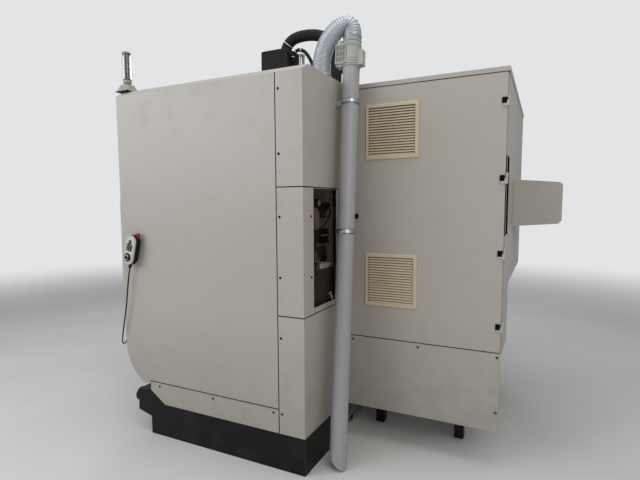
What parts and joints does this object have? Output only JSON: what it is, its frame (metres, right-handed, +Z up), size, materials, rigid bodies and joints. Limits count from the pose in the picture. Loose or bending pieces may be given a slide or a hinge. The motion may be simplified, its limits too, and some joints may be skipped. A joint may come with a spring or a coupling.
{
  "type": "cnc machining center",
  "caption": "Enclosed vertical machining centre with side covers, rear electrical cabinet, leaning extraction pipe, roof fan and ribbed duct, and a hanging handwheel pendant.",
  "frame": {"origin": "on the floor under the spindle axis, at the underside of the middle floor pad", "axes": "+X towards the side with the pendant and the opening side of the cabinet door, +Y from the operator to the rear cabinet, +Z up"},
  "size_m": [2.3264, 2.814, 2.9554],
  "materials": {
    "cream_paint": "satin",
    "inner_sheet": "satin",
    "casting_paint": "satin",
    "black_paint": "matte",
    "dark_steel": "brushed",
    "ground_steel": "brushed",
    "bare_aluminium": "satin",
    "grey_plastic": "matte",
    "black_plastic": "matte",
    "red_plastic": "gloss",
    "clear_plastic": "gloss",
    "tinted_plastic": "satin",
    "screen_glass": "gloss",
    "beige_plastic": "matte",
    "pvc_grey": "satin",
    "duct_plastic": "satin",
    "black_rubber": "matte"
  },
  "bodies": {
    "frame": {"bed_casting": "casting_paint", "column": "casting_paint", "anchor_pads": "dark_steel", "base_tank": "black_paint", "side_panel_right": "cream_paint", "side_panel_left": "cream_paint", "lower_side_cover": "cream_paint", "corner_cover_upper": "cream_paint", "corner_cover_middle": "cream_paint", "corner_cover_lower": "cream_paint", "rear_cover_left": "cream_paint", "roof_panel": "cream_paint", "front_frame": "cream_paint", "work_guard": "inner_sheet", "z_motor": "black_paint", "magazine_bracket": "casting_paint", "control_housing": "grey_plastic", "control_screen": "screen_glass", "signal_base": "grey_plastic", "signal_lens": "clear_plastic", "pendant_body": "black_plastic", "pendant_cord": "black_rubber", "cabinet_shell": "cream_paint", "cabinet_stand": "black_paint", "cabinet_lower_cover": "cream_paint", "door_hinges": "black_paint", "drive_rack": "dark_steel", "rear_cooler": "grey_plastic", "air_unit": "bare_aluminium", "lube_tank": "tinted_plastic", "extraction_pipe": "pvc_grey", "pipe_clamps": "ground_steel", "fan_housing": "grey_plastic", "flexible_duct": "duct_plastic", "cable_conduit": "black_plastic", "coolant_hose": "black_rubber"},
    "saddle": {"saddle": "casting_paint"},
    "table": {"table": "ground_steel"},
    "x_screw": {"x_screw": "ground_steel"},
    "y_screw": {"y_screw": "ground_steel"},
    "z_screw": {"z_screw": "ground_steel"},
    "head": {"headstock": "casting_paint", "spindle_motor": "black_paint", "motor_cover": "black_plastic", "balance_cylinder": "ground_steel"},
    "spindle": {"spindle": "ground_steel"},
    "drum": {"magazine_drum": "ground_steel"},
    "change_arm": {"change_arm": "ground_steel"},
    "door_left": {"door_left": "cream_paint", "window_left": "clear_plastic"},
    "door_right": {"door_right": "cream_paint", "window_right": "clear_plastic"},
    "control_estop": {"control_estop": "red_plastic"},
    "feed_dial": {"feed_dial": "black_plastic"},
    "pendant_dial": {"pendant_dial": "bare_aluminium"},
    "pendant_estop": {"pendant_estop": "red_plastic"},
    "cabinet_door": {"cabinet_door": "cream_paint", "vent_grilles": "beige_plastic"},
    "lock_ring": {"lock_ring": "black_plastic"},
    "fan_impeller": {"fan_impeller": "black_plastic"}
  },
  "joints": [
    {"name": "saddle_slide", "type": "slide", "parent": "frame", "child": "saddle", "axis": [0, 1, 0], "range_m": [-0.19, 0.19]},
    {"name": "table_slide", "type": "slide", "parent": "saddle", "child": "table", "axis": [1, 0, 0], "range_m": [-0.35, 0.35]},
    {"name": "head_slide", "type": "slide", "parent": "frame", "child": "head", "axis": [0, 0, 1], "range_m": [-0.5, 0]},
    {"name": "y_screw_turn", "type": "hinge", "parent": "frame", "child": "y_screw", "pos_m": [0, 0, 0.53], "axis": [0, 1, 0], "continuous": true},
    {"name": "x_screw_turn", "type": "hinge", "parent": "table", "child": "x_screw", "pos_m": [0, 0, 0.6753], "axis": [1, 0, 0], "continuous": true},
    {"name": "z_screw_turn", "type": "hinge", "parent": "frame", "child": "z_screw", "pos_m": [0, 0.46, 1.57], "axis": [0, 0, 1], "continuous": true},
    {"name": "spindle_turn", "type": "hinge", "parent": "head", "child": "spindle", "pos_m": [0, 0, 1.56], "axis": [0, 0, 1], "continuous": true},
    {"name": "drum_turn", "type": "hinge", "parent": "frame", "child": "drum", "pos_m": [-0.49, 0.17, 1.76], "axis": [1, 0, 0], "continuous": true},
    {"name": "arm_turn", "type": "hinge", "parent": "frame", "child": "change_arm", "pos_m": [-0.235, 0, 1.512], "axis": [0, 0, 1], "range_deg": [-10, 10]},
    {"name": "door_left_slide", "type": "slide", "parent": "frame", "child": "door_left", "axis": [1, 0, 0], "range_m": [-0.47, 0]},
    {"name": "door_right_slide", "type": "slide", "parent": "frame", "child": "door_right", "axis": [1, 0, 0], "range_m": [0, 0.47]},
    {"name": "control_estop_push", "type": "slide", "parent": "frame", "child": "control_estop", "axis": [0, 1, 0], "range_m": [0, 0.003], "stiffness_N_per_m": 800},
    {"name": "feed_dial_turn", "type": "hinge", "parent": "frame", "child": "feed_dial", "pos_m": [1, -0.636, 1.34], "axis": [0, 1, 0], "range_deg": [-150, 150]},
    {"name": "pendant_dial_turn", "type": "hinge", "parent": "frame", "child": "pendant_dial", "pos_m": [1.184, -0.44287, 1.23322], "axis": [1, 0, 0], "continuous": true},
    {"name": "pendant_estop_push", "type": "slide", "parent": "frame", "child": "pendant_estop", "axis": [0, -0.2588, -0.9659], "range_m": [0, 0.003], "stiffness_N_per_m": 800},
    {"name": "cabinet_door_swing", "type": "hinge", "parent": "frame", "child": "cabinet_door", "pos_m": [0.549, 1.853, 1.5], "axis": [0, 0, 1], "range_deg": [0, 3]},
    {"name": "lock_turn", "type": "hinge", "parent": "cabinet_door", "child": "lock_ring", "pos_m": [0.548, 0.948, 1.5], "axis": [1, 0, 0], "range_deg": [0, 90]},
    {"name": "fan_turn", "type": "hinge", "parent": "frame", "child": "fan_impeller", "pos_m": [0.65, 0.952, 2.412], "axis": [-0.1254, -0.0165, 0.992], "continuous": true}
  ],
  "couplings": [
    {"joint": "y_screw_turn", "follows": "saddle_slide", "rad_per_m": 392.7},
    {"joint": "x_screw_turn", "follows": "table_slide", "rad_per_m": 392.7},
    {"joint": "z_screw_turn", "follows": "head_slide", "rad_per_m": 392.7}
  ]
}
